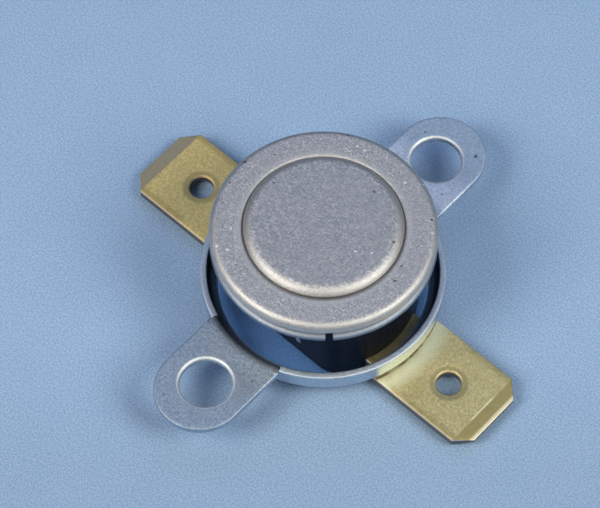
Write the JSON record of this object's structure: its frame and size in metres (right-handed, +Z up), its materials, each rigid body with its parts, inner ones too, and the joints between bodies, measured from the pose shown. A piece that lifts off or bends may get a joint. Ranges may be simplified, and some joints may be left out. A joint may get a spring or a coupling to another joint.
{
  "type": "refrigerator thermostat",
  "caption": "Bimetal snap-disc refrigerator thermostat with an aluminium sensing cap, phenolic base, flat blade terminals and a loose two-ear mounting bracket.",
  "frame": {"origin": "on the axis of the cap, on the plane of the base's underside, at the bottom centre of the bounding box", "axes": "+X along the two blade terminals, +Y along the bracket's ears, +Z up through the sensing disc"},
  "size_m": [0.0316, 0.0314, 0.0097],
  "materials": {
    "cap": "matt, as drawn, with fine grain and handling scratches",
    "bimetal_disc": "rolled bimetal",
    "guide_plate": "moulded phenolic",
    "transfer_pin": "unglazed ceramic",
    "base": "moulded black phenolic, glossy",
    "bracket": "bright zinc-plated sheet with a fine grain",
    "arm_terminal": "rolled brass, slightly tarnished",
    "contact_terminal": "rolled brass, slightly tarnished",
    "rivets": "turned brass",
    "arm_support": "rolled brass",
    "contact_arm": "beryllium copper leaf",
    "moving_contact": "silver alloy",
    "contact_plate": "rolled brass",
    "fixed_contact": "silver alloy"
  },
  "bodies": {
    "housing": {"cap": "cap", "bimetal_disc": "bimetal_disc", "guide_plate": "guide_plate", "base": "base", "arm_terminal": "arm_terminal", "contact_terminal": "contact_terminal", "rivets": "rivets", "arm_support": "arm_support", "contact_plate": "contact_plate", "fixed_contact": "fixed_contact"},
    "bracket": {"bracket": "bracket"},
    "pin": {"transfer_pin": "transfer_pin"},
    "arm": {"contact_arm": "contact_arm", "moving_contact": "moving_contact"}
  },
  "joints": [
    {"name": "bracket_swivel", "type": "hinge", "parent": "housing", "child": "bracket", "pos_m": [0, 0, 0.00225], "axis": [0, 0, 1], "continuous": true},
    {"name": "pin_slide", "type": "slide", "parent": "housing", "child": "pin", "axis": [0, 0, -1], "range_m": [0, 0.0003], "stiffness_N_per_m": 200, "springref_m": -0.0005, "deforming": ["bimetal_disc"]},
    {"name": "arm_flex", "type": "hinge", "parent": "housing", "child": "arm", "pos_m": [-0.0034, 0, 0.00404], "axis": [0, 1, 0], "range_deg": [0, 5.1]}
  ],
  "couplings": [
    {"joint": "arm_flex", "follows": "pin_slide", "rad_per_m": 293.3}
  ]
}
